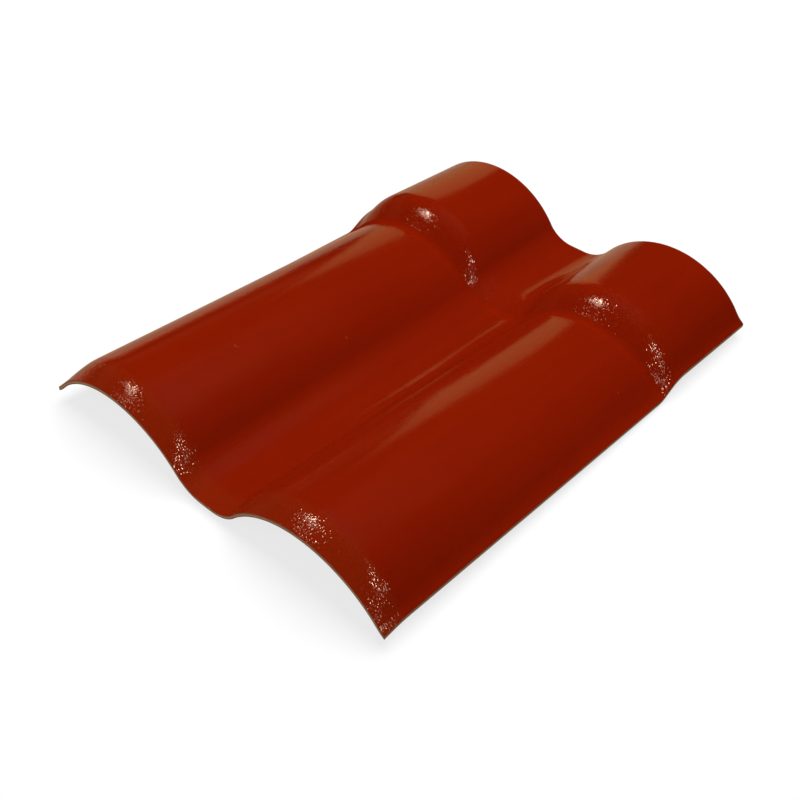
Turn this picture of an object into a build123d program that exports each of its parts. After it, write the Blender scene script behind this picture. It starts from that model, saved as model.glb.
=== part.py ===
"""Roofing sheet: one moulded plastic sheet with two rolls and stepped tile courses, in millimetres.

+X runs across the rolls, +Y runs up the roof and +Z is up. The sheet lies flat with its rolls upwards.
The origin is on the floor, below the middle of the sheet.
"""
from build123d import *
import math
import os

# Whole sheet
wall = 2.0
sheet_length = 300.0
side_reach = 49.5

# Rolls, counted and spaced across the sheet
roll_count = 2
roll_pitch = 131.0
valley_radius = 21.0

# Tile courses, from the nose of one to the nose of the next, and the step up between them
course_length = 219.0
step_run = 13.4
front_run = 11.0

# Section at the raised nose of a course: height of a roll, flat of a valley, lift of the valley
nose_height = 33.4
nose_flat = 6.6
nose_lift = 5.0

# Section at the low tail of a course
tail_height = 24.5
tail_flat = 15.2
tail_lift = 0.0

# Section at the front end, which is cut part of the way down a step
front_height = 27.8
front_flat = 7.0
front_lift = 3.5

# Roundings of the long profile, each measured to one side of its corner
front_round = 6.0
foot_round = 5.0
nose_round = 7.0

# Lofted sections in one rounding and in one straight stretch
rounding_section_count = 7
straight_section_count = 3
# Reach of the trimming block past the sheet
overrun = 5.0

front = (front_height, (roll_pitch - front_flat) / 2, front_lift)
nose = (nose_height, (roll_pitch - nose_flat) / 2, nose_lift)
tail = (tail_height, (roll_pitch - tail_flat) / 2, tail_lift)

# A rounding is never longer than the run that it is on
front_rounding = min(front_round, front_run)
foot_rounding = min(foot_round, step_run / 2)
nose_rounding = min(nose_round, step_run - foot_rounding)

# Corners of the long profile: place, rounding, and the names of the runs before and after it
corners = [(front_run, front_rounding, "front", "course")]
for course in range(math.ceil(sheet_length / course_length)):
    next_nose = front_run + (course + 1) * course_length
    corners.append((next_nose - step_run, foot_rounding, "course", "step"))
    corners.append((next_nose, nose_rounding, "step", "course"))


def eased(offset, rounding):
    """The larger of offset and zero with a rounded corner between them, and its slope."""
    if abs(offset) < rounding:
        passed = (offset + rounding) / (2 * rounding)
        return rounding * passed**2, passed
    return max(offset, 0), float(offset > 0)


def sizes_at(y):
    """Height of a roll, its half width and the lift of the valley at y, each with its slope."""
    sizes = []
    slopes = []
    for at_front, at_nose, at_tail in zip(front, nose, tail):
        rate = {
            "front": (at_nose - at_front) / front_run,
            "course": (at_tail - at_nose) / (course_length - step_run),
            "step": (at_nose - at_tail) / step_run,
        }
        size = at_front + rate["front"] * y
        slope = rate["front"]
        for place, rounding, before, after in corners:
            rise, passed = eased(y - place, rounding)
            size += (rate[after] - rate[before]) * rise
            slope += (rate[after] - rate[before]) * passed
        sizes.append(size)
        slopes.append(slope)
    return sizes, slopes


def skin(y, height, half_width, lift, radius):
    """Edges of one face of the sheet at y, from left to right.

    Each roll is a crest arc between two valley arcs, which it meets in a tangent.
    """
    bend = 2 * math.atan2(height, half_width)
    crest_radius = half_width / math.sin(bend) - radius
    crest_centre = lift + height - crest_radius
    side_end = roll_count * roll_pitch / 2
    edges = []
    end = Vector(-side_end, y, lift)
    for roll in range(roll_count):
        crest_x = (roll - (roll_count - 1) / 2) * roll_pitch
        crest = Vector(crest_x, y, lift + height)
        foot, middle, shoulder = {}, {}, {}
        for side in (-1, 1):
            foot_x = crest_x + side * half_width
            foot[side] = Vector(foot_x, y, lift)
            middle_x = foot_x - side * radius * math.sin(bend / 2)
            middle[side] = Vector(middle_x, y, lift + radius - radius * math.cos(bend / 2))
            shoulder_x = crest_x + side * crest_radius * math.sin(bend)
            shoulder[side] = Vector(shoulder_x, y, crest_centre + crest_radius * math.cos(bend))
        edges.append(Edge.make_line(end, foot[-1]))
        edges.append(Edge.make_three_point_arc(foot[-1], middle[-1], shoulder[-1]))
        edges.append(Edge.make_three_point_arc(shoulder[-1], crest, shoulder[1]))
        edges.append(Edge.make_three_point_arc(shoulder[1], middle[1], foot[1]))
        end = foot[1]
    edges.append(Edge.make_line(end, Vector(side_end, y, lift)))
    return edges


def section(y):
    """Closed outline of the sheet at y, with the wall at its full thickness on the slopes too."""
    (height, half_width, lift), (height_slope, _, lift_slope) = sizes_at(y)
    crest_drop = wall * math.hypot(1, height_slope + lift_slope)
    valley_drop = wall * math.hypot(1, lift_slope)
    upper = skin(y, height, half_width, lift, valley_radius)
    lower = skin(
        y,
        height - crest_drop + valley_drop,
        half_width,
        lift - valley_drop,
        valley_radius + valley_drop,
    )
    left = Edge.make_line(upper[0] @ 0, lower[0] @ 0)
    right = Edge.make_line(upper[-1] @ 1, lower[-1] @ 1)
    return Wire([*upper, *lower, left, right])


def section_places():
    """Places of the lofted sections: close together in the roundings, few in the straights."""
    places = [0.0]
    for place, rounding, _, _ in corners:
        for end, count in (
            (place - rounding, straight_section_count),
            (place + rounding, rounding_section_count),
        ):
            start = places[-1]
            end = min(end, sheet_length)
            if start < end:
                places += [start + (end - start) * step / (count - 1) for step in range(1, count)]
    return places


def roof_sheet():
    """The sheet: its sections lofted up the roof, and cut to width at both sides."""
    lofted = Solid.make_loft([section(place) for place in section_places()], ruled=True)
    width = (roll_count - 1) * roll_pitch + 2 * side_reach
    height = nose_height + nose_lift + 2 * overrun
    block = Box(width, sheet_length + 2 * overrun, height)
    sheet = lofted & Pos(0, sheet_length / 2, height / 2 - overrun) * block
    return Pos(0, -sheet_length / 2, -sheet.bounding_box().min.Z) * sheet


sheet = roof_sheet()
sheet.label = "roof_sheet"

os.makedirs("parts", exist_ok=True)
export_step(sheet, "parts/roof_sheet.step")
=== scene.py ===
# %% [markdown]
# # A moulded roofing sheet
# The object is one sheet of hard plastic in the form of pan tiles: two round rolls with a valley
# between them, and a step where one tile course meets the next. The real sheet is pressed from a flat
# one while it is hot, so its wall is about as thick everywhere and every corner is rounded.
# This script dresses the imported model. It starts by loading that model as a frame that stays as it is.

import math
from collections import namedtuple

import bpy
from mathutils import Matrix, Vector


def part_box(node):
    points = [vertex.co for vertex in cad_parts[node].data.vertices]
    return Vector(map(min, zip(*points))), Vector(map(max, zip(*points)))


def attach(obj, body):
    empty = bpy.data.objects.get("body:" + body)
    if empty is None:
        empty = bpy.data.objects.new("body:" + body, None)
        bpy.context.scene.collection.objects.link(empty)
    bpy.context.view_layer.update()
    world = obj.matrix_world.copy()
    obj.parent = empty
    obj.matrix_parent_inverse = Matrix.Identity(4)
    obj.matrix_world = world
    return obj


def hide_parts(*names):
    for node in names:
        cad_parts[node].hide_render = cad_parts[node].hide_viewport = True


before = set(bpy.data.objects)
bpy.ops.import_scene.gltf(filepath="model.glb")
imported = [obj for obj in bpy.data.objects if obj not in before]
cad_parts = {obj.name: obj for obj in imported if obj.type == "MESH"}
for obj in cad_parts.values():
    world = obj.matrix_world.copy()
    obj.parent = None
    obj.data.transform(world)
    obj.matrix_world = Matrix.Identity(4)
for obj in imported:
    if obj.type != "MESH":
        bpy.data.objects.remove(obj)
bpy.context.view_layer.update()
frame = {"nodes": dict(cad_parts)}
node_low, node_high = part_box("roof_sheet")
print("Packed nodes:", ", ".join(frame["nodes"]))

# %% [markdown]
# ## The sizes of the mould
# Blender works in metres and a roofer in millimetres, so one name for the millimetre keeps the numbers
# readable. Width and length come from the frame, so the dressed sheet can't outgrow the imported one.
# The others are the sizes that the mould has: how high a roll is, how wide the flat of the valley is
# and how far it is lifted. Each is given at the nose of a course, at its tail, and at the front end,
# where the sheet was cut part of the way down a step. A rounding is measured to one side of its corner.

# %% Driving sizes of the mould
mm = 0.001
sheet_width = node_high.x - node_low.x
sheet_length = node_high.y - node_low.y
side_reach = 49.5 * mm
roll_pitch = sheet_width - 2 * side_reach
valley_radius = 21.0 * mm
wall = 2.0 * mm
course_length = 219.0 * mm
step_run = 13.4 * mm
front_run = 11.0 * mm
front_round = 6.0 * mm
foot_round = 2.5 * mm
nose_round = 7.0 * mm
section_sizes = {
    "Front": {"Height": 27.8 * mm, "Flat": 7.0 * mm, "Lift": 3.5 * mm},
    "Nose": {"Height": 33.4 * mm, "Flat": 6.6 * mm, "Lift": 5.0 * mm},
    "Tail": {"Height": 24.5 * mm, "Flat": 15.2 * mm, "Lift": 0.0},
}
course_count = math.ceil(sheet_length / course_length)
print(f"Sheet {sheet_width / mm:.1f} x {sheet_length / mm:.1f} mm, rolls every {roll_pitch / mm:.1f} mm")

# %% [markdown]
# ## Node trees written as sums
# The sheet's form and its finishes are node trees, and most of their nodes only calculate. Placing them
# one by one would bury the rule that they follow. The class below wraps a socket, so that a plain
# Python expression adds the Math nodes for it. One method adds any other node: its settings first,
# because some of them decide which sockets it has, and then the values or links of its sockets.

# %% Values and nodes that Python can write
class Value:
    """An output socket that can be calculated with. Each operation adds a Math node to its tree."""

    def __init__(self, nodes, socket):
        self.nodes = nodes
        self.socket = socket

    def math(self, operation, *inputs):
        return self.nodes.add("ShaderNodeMath", {"operation": operation}, dict(enumerate(inputs)))

    def __add__(self, other):
        return self.math("ADD", self, other)

    def __radd__(self, other):
        return self.math("ADD", other, self)

    def __sub__(self, other):
        return self.math("SUBTRACT", self, other)

    def __rsub__(self, other):
        return self.math("SUBTRACT", other, self)

    def __mul__(self, other):
        return self.math("MULTIPLY", self, other)

    def __rmul__(self, other):
        return self.math("MULTIPLY", other, self)

    def __truediv__(self, other):
        return self.math("DIVIDE", self, other)

    def __rtruediv__(self, other):
        return self.math("DIVIDE", other, self)

    def __pow__(self, other):
        return self.math("POWER", self, other)

    def root(self):
        return self.math("SQRT", self)

    def sine(self):
        return self.math("SINE", self)

    def angle_over(self, other):
        """The angle of a slope that rises by this value over the other one."""
        return self.math("ARCTAN2", self, other)

    def folded(self, other):
        """The value run back and forth between zero and the other one."""
        return self.math("PINGPONG", self, other)

    def at_least(self, other):
        return self.math("MAXIMUM", self, other)

    def at_most(self, other):
        return self.math("MINIMUM", self, other)

    def below(self, other):
        return self.math("LESS_THAN", self, other)

    def eased(self, low, high):
        """Zero up to low, one from high on, with a smooth rise between them."""
        inputs = {"Value": self, "From Min": low, "From Max": high}
        return self.nodes.add("ShaderNodeMapRange", {"interpolation_type": "SMOOTHSTEP"}, inputs)


class Nodes:
    """A node tree to write in."""

    def __init__(self, tree):
        self.tree = tree

    def add(self, kind, settings=None, inputs=None, outputs=0):
        """Adds a node of any kind and returns one of its outputs, or several if outputs is a list."""
        node = self.tree.nodes.new(kind)
        for name, setting in (settings or {}).items():
            setattr(node, name, setting)
        for name, given in (inputs or {}).items():
            linked = given if isinstance(given, list) else [given]
            if isinstance(linked[0], Value):
                for value in linked:
                    self.tree.links.new(value.socket, node.inputs[name])
            else:
                node.inputs[name].default_value = given
        if isinstance(outputs, list):
            return [Value(self, node.outputs[name]) for name in outputs]
        return Value(self, node.outputs[outputs])

    def vector(self, operation, *inputs):
        """A Vector Math node."""
        return self.add("ShaderNodeVectorMath", {"operation": operation}, dict(enumerate(inputs)))

    def mixed(self, share, first, second):
        """A colour that goes from the first to the second as share goes from 0 to 1."""
        return self.add("ShaderNodeMix", {"data_type": "RGBA"}, {0: share, 6: first, 7: second}, 2)


# %% [markdown]
# ## The long profile
# Seen from the side, three sizes change along the sheet: the height of a roll, its half width and the
# lift of the valley. Each runs straight along a course, climbs back up the step, and goes round the
# corners between them in a soft ramp. A drawn curve could hold such a profile, but the wall has to keep
# its thickness where the sheet climbs, which takes the slope too. A ramp gives its rise and its slope
# as two small sums.

# %% How the section changes along the sheet
Corner = namedtuple("Corner", ["risen", "turned", "before", "after"])


def long_corners(along, size):
    """How far each corner of the long profile has risen and turned, with the runs on its two sides."""
    places = [(size["Front Run"], size["Front Round"], "front", "course")]
    for course in range(course_count):
        nose = size["Front Run"] + (course + 1) * size["Course Length"]
        places.append((nose - size["Step Run"], size["Foot Round"], "course", "step"))
        places.append((nose, size["Nose Round"], "step", "course"))
    corners = []
    for place, rounding, before, after in places:
        offset = along - place
        turned = ((offset + rounding) / (2 * rounding)).at_least(0).at_most(1)
        risen = rounding * turned**2 + (offset - rounding).at_least(0)
        corners.append(Corner(risen, turned, before, after))
    return corners


def along_the_sheet(along, size, at_front, at_nose, at_tail, corners):
    """One size of the section and its slope, from what it is at the front, a nose and a tail."""
    rate = {
        "front": (at_nose - at_front) / size["Front Run"],
        "course": (at_tail - at_nose) / (size["Course Length"] - size["Step Run"]),
        "step": (at_nose - at_tail) / size["Step Run"],
    }
    value = at_front + rate["front"] * along
    slope = rate["front"]
    for corner in corners:
        change = rate[corner.after] - rate[corner.before]
        value = value + change * corner.risen
        slope = slope + change * corner.turned
    return value, slope


def section_at(along, size, pitch, corners):
    """Height of a roll, its half width and the lift of the valley, each with its slope."""
    section = []
    for part in ("Height", "Half Width", "Lift"):
        ends = []
        for place in ("Front", "Nose", "Tail"):
            if part == "Half Width":
                ends.append((pitch - size[f"{place} Flat"]) / 2)
            else:
                ends.append(size[f"{place} {part}"])
        section.append(along_the_sheet(along, size, *ends, corners))
    return section


# %% [markdown]
# ## The wave across the sheet
# Across the sheet, a roll is a crest arc between two valley arcs, which meet in a tangent. Their bend
# follows from the height and half width of the roll, so the crest's radius never has to be given. The
# underside is the same curve with a smaller crest and a larger valley radius: that is what keeps the
# wall as thick on a steep flank as it is on the crest. A Solidify modifier would thicken one face with
# less work, but it takes the direction of each point from the faces around it, where the rule has it
# exactly.

# %% The two faces as heights
def wave_height(across, height, half_width, lift, radius):
    """Height of one face of the sheet at a distance across from the nearest crest line."""
    bend = 2 * height.angle_over(half_width)
    crest_radius = half_width / bend.sine() - radius
    crest = height - crest_radius + (crest_radius**2 - across**2).at_least(0).root()
    inside = (half_width - across).at_least(0)
    valley = radius - (radius**2 - inside**2).at_least(0).root()
    on_crest = across.below(crest_radius * bend.sine())
    return lift + valley + on_crest * (crest - valley)


def face_heights(across, section, size):
    """Heights of the weather face and of the underside, which lie a wall apart on the slopes too."""
    (height, height_slope), (half_width, _), (lift, lift_slope) = section
    crest_drop = size["Wall"] * (1 + (height_slope + lift_slope) ** 2).root()
    valley_drop = size["Wall"] * (1 + lift_slope**2).root()
    upper = wave_height(across, height, half_width, lift, size["Valley Radius"])
    lower = wave_height(
        across,
        height - crest_drop + valley_drop,
        half_width,
        lift - valley_drop,
        size["Valley Radius"] + valley_drop,
    )
    return upper, lower


# %% [markdown]
# ## What the press leaves
# A pressed sheet is never as true as its mould. Both faces share a faint waver, from a noise that is
# longer along the rolls than across them.
# The finishes have to know what the press did at each point: the grain is rough only where a corner of
# the mould drew the plastic out, and the hollow at the foot of the step stays dull. Both could be
# painted on by hand. Here they are worked out from the same corners that bend the sheet, and kept on
# its points, so a finish stays in its place when a size of the mould changes.

# %% The waver and the notes for the finishes
waver_stretch = 0.35
waver_detail = 1.0
noise_mean = 0.5
# The power that holds the grain back until late in the foot of a step
foot_delay = 6


def sheet_waver(nodes, position, size):
    """The faint unevenness of a pressed sheet, as a height."""
    stretched = nodes.vector("MULTIPLY", position, (1.0, waver_stretch, 0.0))
    noise = nodes.add(
        "ShaderNodeTexNoise",
        {"noise_dimensions": "3D"},
        {"Vector": stretched, "Scale": 1 / size["Waver Length"], "Detail": waver_detail},
        "Fac",
    )
    return size["Waver Height"] * (noise - noise_mean)


def press_marks(corners):
    """How far the plastic was drawn out, late in a foot and up to a nose, and how hollow a foot is.

    Both go from 0 to 1. The 4 makes the hollow 1 in the middle of the foot.
    """
    front, *steps = corners
    drawn_out = 1 - front.turned
    hollow = 0.0
    for foot, nose in zip(steps[0::2], steps[1::2]):
        drawn_out = drawn_out + foot.turned**foot_delay - nose.turned
        hollow = hollow + 4 * foot.turned * (1 - foot.turned)
    return drawn_out, hollow


def kept(nodes, mesh, name, value):
    """The mesh with a value kept on its points, for the finishes to read."""
    return nodes.add(
        "GeometryNodeStoreNamedAttribute",
        {"data_type": "FLOAT", "domain": "POINT"},
        {"Geometry": mesh, "Name": name, "Value": value},
    )


# %% [markdown]
# ## One closed sheet from a flat grid
# The sheet could be modelled by hand from a box, or swept along a path, but its section changes all
# the way along, and a rule that gives the height of each point is shorter and exact. So the tree starts
# from a flat grid. Its points go up to the weather face. A copy of the grid is extruded by nothing,
# which gives it a rim of side faces, and the extruded faces go down to the underside. Turned inside out
# and merged with the first face, the copy closes the sheet. How far through the wall a point is, is
# kept as well, for the finish of the cut edge.

# %% Closing the sheet
def closed_shell(nodes, grid, at_upper, at_lower, size):
    """The closed sheet, with where its underside and its rim are."""
    shell, moved, rim = nodes.add(
        "GeometryNodeExtrudeMesh",
        inputs={"Mesh": grid, "Offset Scale": 0.0, "Individual": False},
        outputs=["Mesh", "Top", "Side"],
    )
    shell = kept(nodes, shell, "through_wall", moved)
    place = nodes.add(
        "GeometryNodeSwitch",
        {"input_type": "VECTOR"},
        {"Switch": moved, "False": at_upper, "True": at_lower},
    )
    shell = nodes.add("GeometryNodeSetPosition", inputs={"Geometry": shell, "Position": place})
    shell = nodes.add("GeometryNodeFlipFaces", inputs={"Mesh": shell})
    weather_face = kept(nodes, grid, "through_wall", 0.0)
    weather_face = nodes.add(
        "GeometryNodeSetPosition", inputs={"Geometry": weather_face, "Position": at_upper}
    )
    sheet = nodes.add("GeometryNodeJoinGeometry", inputs={"Geometry": [shell, weather_face]})
    merged = {"Geometry": sheet, "Distance": size["Merge Distance"]}
    return nodes.add("GeometryNodeMergeByDistance", inputs=merged), moved, rim


def dressed(nodes, mesh, where, finish):
    """The mesh with a finish on the faces that are named by where."""
    return nodes.add(
        "GeometryNodeSetMaterial", inputs={"Geometry": mesh, "Selection": where, "Material": finish}
    )


# %% [markdown]
# The whole rule in one tree: its sizes, counts and finishes are named inputs, so the same tree makes
# a sheet with other rolls or another wall, and each size has its place in the modifier's panel. The
# end of the tree makes real faces of what it has, because instances would be lost in an export.

# %% The sheet as a Geometry Nodes tree
def tree_inputs(nodes, named_kinds):
    """Gives the tree its named inputs, and returns them as values by name."""
    names = []
    for named, kind in named_kinds:
        for name in named:
            nodes.tree.interface.new_socket(name, in_out="INPUT", socket_type=kind)
            names.append(name)
    return dict(zip(names, nodes.add("NodeGroupInput", outputs=names)))


def sheet_tree(sizes, counts, finishes):
    """The node group that makes the closed sheet from its named sizes."""
    tree = bpy.data.node_groups.new("roof_sheet_rule", "GeometryNodeTree")
    tree.interface.new_socket("Sheet", in_out="OUTPUT", socket_type="NodeSocketGeometry")
    nodes = Nodes(tree)
    named_kinds = [
        (sizes, "NodeSocketFloat"),
        (counts, "NodeSocketInt"),
        (finishes, "NodeSocketMaterial"),
    ]
    size = tree_inputs(nodes, named_kinds)

    position = nodes.add("GeometryNodeInputPosition")
    x, y = nodes.add("ShaderNodeSeparateXYZ", inputs={0: position}, outputs=["X", "Y"])
    along = y + size["Length"] / 2
    from_first_crest = x + size["Width"] / 2 - size["Side Reach"]
    pitch = size["Width"] - 2 * size["Side Reach"]
    across = from_first_crest.folded(pitch / 2)
    corners = long_corners(along, size)
    upper, lower = face_heights(across, section_at(along, size, pitch, corners), size)
    waver = sheet_waver(nodes, position, size)
    at_upper = nodes.add("ShaderNodeCombineXYZ", inputs={"X": x, "Y": y, "Z": waver + upper})
    at_lower = nodes.add("ShaderNodeCombineXYZ", inputs={"X": x, "Y": y, "Z": waver + lower})

    grid_sizes = {
        "Size X": size["Width"],
        "Size Y": size["Length"],
        "Vertices X": size["Points Across"],
        "Vertices Y": size["Points Along"],
    }
    grid = nodes.add("GeometryNodeMeshGrid", inputs=grid_sizes, outputs="Mesh")
    drawn_out, hollow = press_marks(corners)
    grid = kept(nodes, grid, "drawn_out", drawn_out)
    grid = kept(nodes, grid, "hollow", hollow)
    grid = kept(nodes, grid, "from_crest", across)

    sheet, underside, rim = closed_shell(nodes, grid, at_upper, at_lower, size)
    sheet = nodes.add("GeometryNodeSetShadeSmooth", inputs={"Geometry": sheet, "Shade Smooth": True})
    sheet = nodes.add("GeometryNodeRealizeInstances", inputs={"Geometry": sheet})
    sheet = dressed(nodes, sheet, True, size["Weather Finish"])
    sheet = dressed(nodes, sheet, underside, size["Underside Finish"])
    sheet = dressed(nodes, sheet, rim, size["Edge Finish"])
    nodes.add("NodeGroupOutput", inputs={"Sheet": sheet}, outputs=[])
    print("The sheet's rule has", len(tree.nodes), "nodes")
    return tree


# %% [markdown]
# ## The finishes
# The sheet has three: a glossy weather face, a sawn edge and a plainer underside. All are one plastic,
# so one function puts that plastic on a tree, and each finish only says how colour, roughness and
# relief change over the surface. They could be pictures laid on the sheet, but a picture blurs when
# seen close. Patterns that are worked out from the place of a point stay sharp, and need no layout.
# Two things go beyond a plain plastic. A skin, the shader's coat, lies smooth over the grain, so it
# mirrors a lamp as one spot in the middle of scattered glints. Where the press doesn't reach, the face
# is dull. A high roughness would not show that, because it spreads each lamp into a haze, so a second
# plastic that mirrors nothing is mixed in there.

# %% The plastic that all the finishes share
skin_roughness = 0.06
dull_roughness = 0.6


def new_finish(name):
    """A material with an empty tree, and the place of a point on the object."""
    material = bpy.data.materials.new(name)
    material.use_nodes = True
    material.node_tree.nodes.clear()
    nodes = Nodes(material.node_tree)
    position = nodes.add("ShaderNodeTexCoord", outputs="Object")
    return material, nodes, position


def noted(nodes, name):
    """A value that the sheet's tree kept on its points."""
    return nodes.add("ShaderNodeAttribute", {"attribute_name": name}, outputs="Fac")


def noise_at(nodes, position, pitch, detail=0.0, seed=0.0):
    """Noise between 0 and 1 whose bumps are about pitch apart."""
    return nodes.add(
        "ShaderNodeTexNoise",
        {"noise_dimensions": "4D"},
        {"Vector": position, "W": seed, "Scale": 1 / pitch, "Detail": detail},
        "Fac",
    )


def plastic(nodes, colour, roughness, relief, facing=None, skin=0.0, dull=None):
    """Puts the plastic on a tree.

    relief is a height in metres, facing is the direction of its grain, skin is the share of smooth
    skin over the grain, and dull is how far the surface mirrors nothing.
    """
    heights = {"Strength": 1.0, "Distance": 1.0, "Height": relief}
    if facing:
        heights["Normal"] = facing
    body = {
        "Base Color": colour,
        "Roughness": roughness,
        "Normal": nodes.add("ShaderNodeBump", inputs=heights),
        "Coat Weight": skin,
        "Coat Roughness": skin_roughness,
    }
    shader = nodes.add("ShaderNodeBsdfPrincipled", inputs=body)
    if dull:
        matt_body = {"Base Color": colour, "Roughness": dull_roughness, "Specular IOR Level": 0.0}
        matt = nodes.add("ShaderNodeBsdfPrincipled", inputs=matt_body)
        shader = nodes.add("ShaderNodeMixShader", inputs={0: dull, 1: shader, 2: matt})
    nodes.add("ShaderNodeOutputMaterial", inputs={"Surface": shader}, outputs=[])


# %% [markdown]
# ### Grain that catches the lamps
# Seen close, the weather face has a fine grain, which stands up further where the plastic was drawn
# out, at the front end and over the step. There each grain catches a lamp by itself: crisp, uneven
# glints with dark plastic between them. A grain of a millimetre would take millions of faces as mesh,
# and a noise through a Bump node is too soft, so that its glints run together into a haze.
# So the finish works out the direction of the surface itself. The grains are low domes about strewn
# points, each as steep as chance makes it, and each dome is cut into small flat facets, because a flat
# facet mirrors a lamp wholly or not at all.

# %% Domes with flat facets
grain_pitch = 1.1 * mm
facet_pitch = 0.32 * mm
strewn_share = 0.8
least_dome_share = 0.25
dome_spread_share = 1.5


def on_plan(nodes, position):
    """The place of a point on the plan of the sheet."""
    return nodes.vector("MULTIPLY", position, (1.0, 1.0, 0.0))


def nearest_point(nodes, level, pitch):
    """The nearest of points that are strewn about pitch apart, and a random colour of that point."""
    return nodes.add(
        "ShaderNodeTexVoronoi",
        {"voronoi_dimensions": "2D", "feature": "F1"},
        {"Vector": level, "Scale": 1 / pitch, "Randomness": strewn_share},
        ["Position", "Color"],
    )


def grained_facing(nodes, position, pitch, lean):
    """The surface's own direction, turned by its grains. A middling one leans by lean at its rim."""
    facet, _ = nearest_point(nodes, on_plan(nodes, position), facet_pitch)
    middle, random = nearest_point(nodes, facet, pitch)
    draw = nodes.add("ShaderNodeSeparateColor", inputs={0: random})
    steepness = (lean * 2 / pitch) * (least_dome_share + dome_spread_share * draw)
    away = nodes.vector("SUBTRACT", facet, middle)
    tilt = nodes.add("ShaderNodeVectorMath", {"operation": "SCALE"}, {0: away, "Scale": steepness})
    straight = nodes.add("ShaderNodeNewGeometry", outputs="Normal")
    return nodes.vector("NORMALIZE", nodes.vector("ADD", straight, tilt))


# %% [markdown]
# ### Specks from the mould
# A speck in the mould or in the plastic leaves its mark on the sheet: here a dimple with two pale pips
# at its rim, and two pips that stand alone. The paleness of the two pips at the rim is a painted
# reflection of the light on the dimple's rim. They are a tenth of a millimetre high at most, so they
# are relief in the finish and not mesh. Each is one round spot, and one list places them all.

# %% Pips and a dimple
# Each speck: its place on the plan, its reach, how far it stands up or in, and how pale it is, which on
# the dimple's rim is a painted reflection
mould_specks = [
    ((-51.5 * mm, -82.5 * mm), 1.5 * mm, -0.10 * mm, 0.0),
    # The two pips at the dimple's rim: their paleness is a painted reflection of the light on the rim
    ((-50.8 * mm, -83.6 * mm), 0.9 * mm, 0.05 * mm, 0.9),
    ((-49.4 * mm, -82.9 * mm), 0.8 * mm, 0.05 * mm, 0.5),
    ((-28.6 * mm, -25.3 * mm), 1.0 * mm, 0.05 * mm, 0.5),
    ((101.3 * mm, 42.0 * mm), 0.7 * mm, 0.05 * mm, 0.4),
]
speck_top_share = 0.2


def moulding_marks(nodes, position):
    """The marks that the specks left, as a height and as how pale they are. On the dimple's rim the pale
    colour is a painted reflection.
    """
    height = 0.0
    pale_and_reflection = 0.0
    for place, reach, rise, paleness_and_reflection in mould_specks:
        places = {0: on_plan(nodes, position), 1: (*place, 0.0)}
        away = nodes.add("ShaderNodeVectorMath", {"operation": "DISTANCE"}, places, "Value")
        spot = 1 - away.eased(speck_top_share * reach, reach)
        height = height + rise * spot
        pale_and_reflection = pale_and_reflection + paleness_and_reflection * spot
    return height, pale_and_reflection


# %% [markdown]
# ### The weather face
# The colour is in the plastic, so it is even, with only a faint drift and faint lines along the rolls,
# which are partly from the extruder and partly a painted sheen that changes along them. One flat red
# would look like a drawing, because the eye takes such small changes as the sign of a real surface. At
# the front end the rough grain is a little browner, and that colour is partly painted light and shade,
# set for how the light falls on the slope there. The gloss is high, with a soft unevenness that makes
# the mirrored lamps waver. The skin over the grain is kept to the tops of the rolls: lower down, the
# grain glints by itself.

# %% Weather face
skin_red = (0.258, 0.0112, 0.0006, 1.0)
skin_dark = (0.208, 0.0074, 0.0002, 1.0)
# Browner colour of the drawn-out front end, partly painted light and shade for how light falls on its
# slope
drawn_tone_and_shade = (0.235, 0.0135, 0.0014, 1.0)
# Pale colour of the specks, which on the dimple's rim is a painted reflection
speck_pale_and_reflection = (0.42, 0.055, 0.022, 1.0)
drift_pitch = 60 * mm
drift_share = 0.55
# Faint lines along the rolls, partly from the extruder and partly a painted sheen
line_pitch = 6 * mm
line_stretch = 0.03
peel_pitch = 7.0 * mm
peel_height = 0.02 * mm
grain_lean = 0.035
drawn_grain_lean = 0.085
least_roughness = 0.07
drift_roughness = 0.03
drawn_gloss = 0.03
step_skin_share = 0.6
front_skin_share = 0.1
# How drawn out or hollow the sheet is where grain or dullness starts, and where it is full
drawn_range = (0.15, 0.6)
hollow_range = (0.0, 0.3)
# How far from the front edge the front end fades out, and how far from a crest the top of a roll does
front_end_range = (10 * mm, 30 * mm)
top_of_roll_range = (14 * mm, 26 * mm)


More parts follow.
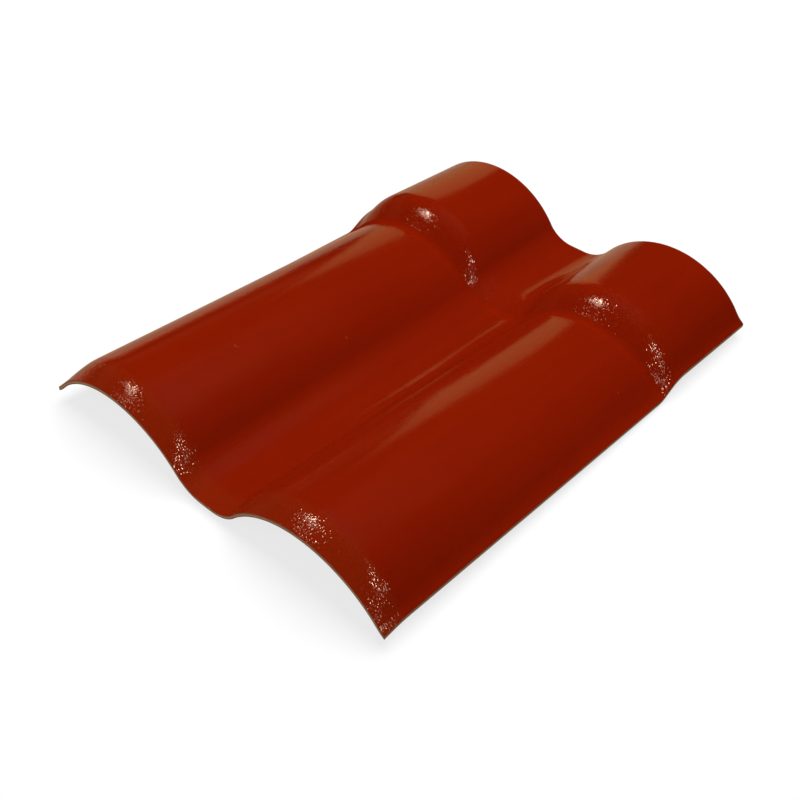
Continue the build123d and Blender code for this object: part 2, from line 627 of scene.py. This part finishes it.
def weather_finish():
    """Glossy plastic, with its rough grain, its skin and its dull hollow where the press left them."""
    material, nodes, position = new_finish("weather_face_plastic")
    grained = noted(nodes, "drawn_out").eased(*drawn_range)
    y = nodes.add("ShaderNodeSeparateXYZ", inputs={0: position}, outputs="Y")
    front_end = 1 - (y + sheet_length / 2).eased(*front_end_range)
    on_top = 1 - noted(nodes, "from_crest").eased(*top_of_roll_range)

    marks, pale_and_reflection = moulding_marks(nodes, position)
    drift = noise_at(nodes, position, drift_pitch, detail=2.0, seed=5.0)
    # Faint lines along the rolls, partly from the extruder and partly a painted sheen
    lengthways = nodes.vector("MULTIPLY", position, (1.0, line_stretch, 1.0))
    lines_and_sheen = noise_at(nodes, lengthways, line_pitch, seed=7.0)
    tone_and_sheen = drift_share * drift + (1 - drift_share) * lines_and_sheen
    colour = nodes.mixed(tone_and_sheen, skin_dark, skin_red)
    # The front end's browner colour, partly painted light and shade for how light falls on its slope
    colour = nodes.mixed(grained * front_end, colour, drawn_tone_and_shade)
    # Pale specks, which on the dimple's rim are a painted reflection
    colour = nodes.mixed(pale_and_reflection, colour, speck_pale_and_reflection)

    roughness = least_roughness + drift_roughness * drift - drawn_gloss * grained
    relief = marks + peel_height * noise_at(nodes, position, peel_pitch, seed=3.0)
    lean = grain_lean + grained * (drawn_grain_lean - grain_lean)
    facing = grained_facing(nodes, position, grain_pitch, lean)
    skin = grained * on_top * (step_skin_share - (step_skin_share - front_skin_share) * front_end)
    dull = noted(nodes, "hollow").eased(*hollow_range)
    plastic(nodes, colour, roughness, relief, facing, skin, dull)
    print("Weather face finish has", len(nodes.tree.nodes), "nodes")
    return material


# %% [markdown]
# ### The cut edge
# A saw leaves the edge matt and paler than the faces, because its scratches scatter the light. It shows
# a light brown core, a redder line towards the weather face and a dark one at the underside. The depth
# through the wall was kept on the points, so the three follow the sheet round every bend, which no
# pattern in plain coordinates would do. The saw's scratches are a noise that is drawn out upwards.

# %% Cut edge
core_dark = (0.39, 0.20, 0.11, 1.0)
core_pale = (0.57, 0.33, 0.19, 1.0)
edge_red = (0.20, 0.03, 0.01, 1.0)
edge_shadow = (0.14, 0.05, 0.025, 1.0)
# Depths through the wall, as shares of it, from the weather face down
red_fade_range = (0.05, 0.45)
shadow_range = (0.55, 0.95)
scratch_pitch = 0.5 * mm
scratch_stretch = 0.15
scratch_height = 0.03 * mm
edge_roughness = 0.55
scratch_roughness = 0.15


def edge_finish():
    """Sawn plastic, which changes through the wall."""
    material, nodes, position = new_finish("cut_edge_core")
    depth = noted(nodes, "through_wall")
    upwards = nodes.vector("MULTIPLY", position, (1.0, 1.0, scratch_stretch))
    scratches = noise_at(nodes, upwards, scratch_pitch, detail=2.0)
    colour = nodes.mixed(scratches, core_dark, core_pale)
    colour = nodes.mixed(depth.eased(*shadow_range), colour, edge_shadow)
    colour = nodes.mixed(depth.eased(*red_fade_range), edge_red, colour)
    roughness = edge_roughness + scratch_roughness * scratches
    plastic(nodes, colour, roughness, scratch_height * scratches)
    print("Cut edge finish has", len(nodes.tree.nodes), "nodes")
    return material


# %% [markdown]
# ### The underside
# The underside lies towards the rafters. How it looks is a guess from other sheets of this kind: the
# same plastic, a little darker, with less gloss and a fine even grain. It is finished all the same,
# because a part is looked at from every side.

# %% Underside
underside_dark = (0.16, 0.010, 0.003, 1.0)
underside_red = (0.20, 0.014, 0.004, 1.0)
underside_drift_pitch = 40 * mm
underside_grain_pitch = 0.9 * mm
underside_grain_height = 0.02 * mm
underside_roughness = 0.42
underside_drift_roughness = 0.08


def underside_finish():
    """Plainer plastic with a fine even grain."""
    material, nodes, position = new_finish("underside_plastic")
    drift = noise_at(nodes, position, underside_drift_pitch, detail=3.0)
    grain = noise_at(nodes, position, underside_grain_pitch, detail=1.0)
    colour = nodes.mixed(drift, underside_dark, underside_red)
    roughness = underside_roughness + underside_drift_roughness * drift
    plastic(nodes, colour, roughness, underside_grain_height * grain)
    print("Underside finish has", len(nodes.tree.nodes), "nodes")
    return material


# %% [markdown]
# ## Making the sheet
# The tree runs once, on an empty carrier object, and its result becomes a plain mesh, so nothing that
# follows depends on the tree. The inputs are set by the identifier of their socket, because a modifier
# doesn't know their names. The counts give faces of about 1.3 mm, small enough for the tight foot of
# the step, and keep the sheet under 200,000 triangles.

# %% Run the tree and keep its mesh
sizes = {
    "Width": sheet_width,
    "Length": sheet_length,
    "Side Reach": side_reach,
    "Valley Radius": valley_radius,
    "Wall": wall,
    "Course Length": course_length,
    "Step Run": step_run,
    "Front Run": front_run,
    "Front Round": front_round,
    "Foot Round": foot_round,
    "Nose Round": nose_round,
    "Waver Height": 0.25 * mm,
    "Waver Length": 45 * mm,
    "Merge Distance": 0.01 * mm,
}
for place, section in section_sizes.items():
    for part, value in section.items():
        sizes[f"{place} {part}"] = value
counts = {"Points Across": 181, "Points Along": 235}
finishes = {
    "Weather Finish": weather_finish(),
    "Underside Finish": underside_finish(),
    "Edge Finish": edge_finish(),
}


def made_by_nodes(name, tree, inputs):
    """A plain mesh object with what the tree makes from these inputs."""
    carrier = bpy.data.objects.new(name + "_carrier", bpy.data.meshes.new(name + "_carrier"))
    bpy.context.scene.collection.objects.link(carrier)
    modifier = carrier.modifiers.new("rule", "NODES")
    modifier.node_group = tree
    for item in tree.interface.items_tree:
        if item.in_out == "INPUT":
            modifier[item.identifier] = inputs[item.name]
    scene_graph = bpy.context.evaluated_depsgraph_get()
    mesh = bpy.data.meshes.new_from_object(carrier.evaluated_get(scene_graph))
    bpy.data.objects.remove(carrier)
    mesh.name = name
    made = bpy.data.objects.new(name, mesh)
    bpy.context.scene.collection.objects.link(made)
    return made


inputs = {**sizes, **counts, **finishes}
sheet = made_by_nodes("moulded_sheet", sheet_tree(sizes, counts, finishes), inputs)

# %% [markdown]
# The waver can leave the lowest point a little above or below the floor, so the mesh is moved until it
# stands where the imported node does. The grid had no finish of its own, which leaves an empty slot in
# front of the others, and it goes.
# A saw leaves no edge as sharp as the mesh has it. A narrow bevel round the rim breaks that edge, and
# gives it the thin line of light that real edges have. The rest of the mesh bends too little to be
# bevelled, so the rim needs no selection.

# %% Seat the sheet and break its sawn edges
rim_width = 0.2 * mm
rim_segments = 2
rim_angle = 40

lowest = min(vertex.co.z for vertex in sheet.data.vertices)
sheet.data.transform(Matrix.Translation((0.0, 0.0, node_low.z - lowest)))
sheet.data.materials.pop(index=0)
rim = sheet.modifiers.new("sawn_rim", "BEVEL")
rim.width = rim_width
rim.segments = rim_segments
rim.limit_method = "ANGLE"
rim.angle_limit = math.radians(rim_angle)
rim.harden_normals = True

print(f"Sheet moved by {(node_low.z - lowest) / mm:.3f} mm")
print("Sheet has", len(sheet.data.vertices), "points and", len(sheet.data.polygons), "faces")
used = [polygon.material_index for polygon in sheet.data.polygons]
for index, material in enumerate(sheet.data.materials):
    print("Finish", material.name, "is on", used.count(index), "faces")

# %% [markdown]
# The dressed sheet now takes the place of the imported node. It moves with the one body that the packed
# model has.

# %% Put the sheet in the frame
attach(sheet, "root")
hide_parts("roof_sheet")

# %% [markdown]
# ## Lamps
# Two soft lamps light the plastic's own colour, one from above and a weak one from the front. Gloss
# would mirror them as broad white squares that the sheet doesn't show, so they are left out of it.
# What the gloss does show comes from lamps that are seen only in gloss. Small warm ones, high at the
# front left and lower on the right, are broken into glints by the grain. A warm panel behind the
# sheet, and a card and a strip on its left, lie along the rolls as soft bands. With one set of lamps
# for both uses, no glint could be made brighter without bleaching the colour.

# %% Lamps
middle = Vector((0.0, 0.0, 20 * mm))
neutral = (1.0, 1.0, 1.0)
warm_white = (1.0, 0.78, 0.58)
tan = (1.0, 0.60, 0.21)
brick = (1.0, 0.30, 0.12)
# Each lamp: its place, its width and height, its light, its colour, and how far it leans in degrees
soft_lamps = {
    "key": ((0.0, 0.15, 0.95), (0.9, 0.9), 1.19, neutral, 0.0),
    "front": ((-0.35, -1.05, 0.55), (0.8, 0.8), 0.22, neutral, 0.0),
}
mirrored_lamps = {
    "glint_core": ((-1.34, -0.90, 2.53), (0.35, 0.18), 0.075, warm_white, -30.0),
    "glint_front": ((-1.32, -0.925, 2.53), (0.70, 0.10), 0.03, warm_white, -30.0),
    "glint_low": ((-1.46, -1.22, 2.36), (0.70, 0.40), 0.055, warm_white, 0.0),
    "glint_side": ((0.70, -0.065, 0.60), (0.04, 0.10), 0.062, warm_white, 0.0),
    "glint_corner": ((0.737, 0.05, 0.36), (0.055, 0.09), 0.018, warm_white, 0.0),
    "glint_side_strip": ((0.70, -0.065, 0.60), (0.04, 0.40), 0.012, warm_white, 0.0),
    "warm_panel": ((-0.5545, 0.6315, 0.20), (0.294, 0.40), 0.0265, tan, 0.0),
    "left_card": ((-0.33, -0.10, 0.028), (0.7, 0.055), 0.038, brick, 0.0),
    "left_strip": ((-0.20, -0.02, 0.085), (0.4, 0.03), 0.012, brick, 0.0),
}


def add_lamp(name, place, size, light, colour, lean, only_mirrored):
    """A flat lamp that faces the middle of the sheet.

    light is how bright a white card would look in the middle if it faced the lamp.
    """
    away = Vector(place) - middle
    data = bpy.data.lights.new(name, "AREA")
    data.shape = "RECTANGLE"
    data.size, data.size_y = size
    data.energy = light * math.pi**2 * away.length_squared
    data.color = colour
    lamp = bpy.data.objects.new(name, data)
    turn = away.to_track_quat("Z", "Y").to_matrix().to_4x4()
    lamp.matrix_world = Matrix.Translation(place) @ turn @ Matrix.Rotation(math.radians(lean), 4, "Z")
    lamp.visible_camera = False
    lamp.visible_diffuse = not only_mirrored
    lamp.visible_glossy = only_mirrored
    bpy.context.scene.collection.objects.link(lamp)


for name, given in soft_lamps.items():
    add_lamp(name, *given, only_mirrored=False)
for name, given in mirrored_lamps.items():
    add_lamp(name, *given, only_mirrored=True)
print("Lamps:", len(soft_lamps), "soft and", len(mirrored_lamps), "seen only in gloss")

# %% [markdown]
# ## Floor and background
# The sheet lies on white, with a soft shadow. More light would make the floor white, but it would
# bleach the sheet too. So the floor is grey paint with a glow of its own that only the camera sees:
# the glow lifts it to white and leaves the shadow on it. Further off the lamps fade, so there the
# glow is stronger. To everything else the floor is a warm board, which gives the low flanks of the
# sheet the tint that they show. The world is made in the same way: white to the camera, nearly dark
# in the gloss, and a weak even light for the rest.

# %% Floor and background
white = (1.0, 1.0, 1.0, 1.0)
floor_paint = (0.25, 0.25, 0.25, 1.0)
warm_board = (0.44, 0.30, 0.18, 1.0)
near_glow = 0.76
glow_rise_range = (0.3, 1.2)
floor_reach = 6.0
even_light = 0.15
mirrored_dark = (1.0, 0.30, 0.12, 1.0)
mirrored_light = 0.02


def floor_finish():
    """White with a shadow to the camera, and a warm board to everything else."""
    material, nodes, position = new_finish("floor_paint")
    seen = nodes.add("ShaderNodeLightPath", outputs="Is Camera Ray")
    away = nodes.add("ShaderNodeVectorMath", {"operation": "LENGTH"}, {0: position}, "Value")
    lit = near_glow + (1 - near_glow) * away.eased(*glow_rise_range)
    glow = nodes.add("ShaderNodeEmission", inputs={"Color": white, "Strength": lit})
    paint = nodes.add("ShaderNodeBsdfDiffuse", inputs={"Color": floor_paint})
    glowing = nodes.add("ShaderNodeAddShader", inputs={0: paint, 1: glow})
    board = nodes.add("ShaderNodeBsdfDiffuse", inputs={"Color": warm_board})
    shader = nodes.add("ShaderNodeMixShader", inputs={0: seen, 1: board, 2: glowing})
    nodes.add("ShaderNodeOutputMaterial", inputs={"Surface": shader}, outputs=[])
    return material


def make_floor():
    """One large level square, which isn't part of the object."""
    sides = [(-1, -1), (1, -1), (1, 1), (-1, 1)]
    corners = [(x * floor_reach, y * floor_reach, 0.0) for x, y in sides]
    mesh = bpy.data.meshes.new("floor")
    mesh.from_pydata(corners, [], [(0, 1, 2, 3)])
    mesh.materials.append(floor_finish())
    floor = bpy.data.objects.new("floor", mesh)
    bpy.context.scene.collection.objects.link(floor)


def make_world():
    """White to the camera, nearly dark in the gloss, and a weak even light for the rest."""
    world = bpy.data.worlds.new("studio")
    world.use_nodes = True
    world.node_tree.nodes.clear()
    nodes = Nodes(world.node_tree)
    seen, gloss = nodes.add("ShaderNodeLightPath", outputs=["Is Camera Ray", "Is Glossy Ray"])
    fill = nodes.add("ShaderNodeBackground", inputs={"Color": white, "Strength": even_light})
    dark = nodes.add("ShaderNodeBackground", inputs={"Color": mirrored_dark, "Strength": mirrored_light})
    behind = nodes.add("ShaderNodeBackground", inputs={"Color": white, "Strength": 1.0})
    unseen = nodes.add("ShaderNodeMixShader", inputs={0: gloss, 1: fill, 2: dark})
    shader = nodes.add("ShaderNodeMixShader", inputs={0: seen, 1: unseen, 2: behind})
    nodes.add("ShaderNodeOutputWorld", inputs={"Surface": shader}, outputs=[])
    bpy.context.scene.world = world


make_floor()
make_world()
bpy.context.scene.view_settings.view_transform = "Standard"
print("Floor reaches", floor_reach, "m to each side")

# %% [markdown]
# ## The camera
# The camera looks down over the front right corner, from where the sheet's outline falls on that of the
# photograph. Setting it by eye would leave the far end a little too long or too wide. Its place, its
# three angles and its lens were fitted together, because each one alone can hide a fault in another.

# %% Camera
camera_place = Vector((308.03, -367.48, 399.30)) * mm
camera_heading = 40.970
camera_tilt = -41.501
camera_lean = 1.979
camera_lens = 51.203
nearest_seen = 10 * mm

camera_data = bpy.data.cameras.new("camera")
camera_data.lens = camera_lens
camera_data.clip_start = nearest_seen
camera = bpy.data.objects.new("camera", camera_data)
camera.matrix_world = (
    Matrix.Translation(camera_place)
    @ Matrix.Rotation(math.radians(camera_heading), 4, "Z")
    @ Matrix.Rotation(math.radians(90 + camera_tilt), 4, "X")
    @ Matrix.Rotation(math.radians(camera_lean), 4, "Z")
)
bpy.context.scene.collection.objects.link(camera)
bpy.context.scene.camera = camera
print(f"Camera is {camera_place.length / mm:.0f} mm from the middle of the sheet")
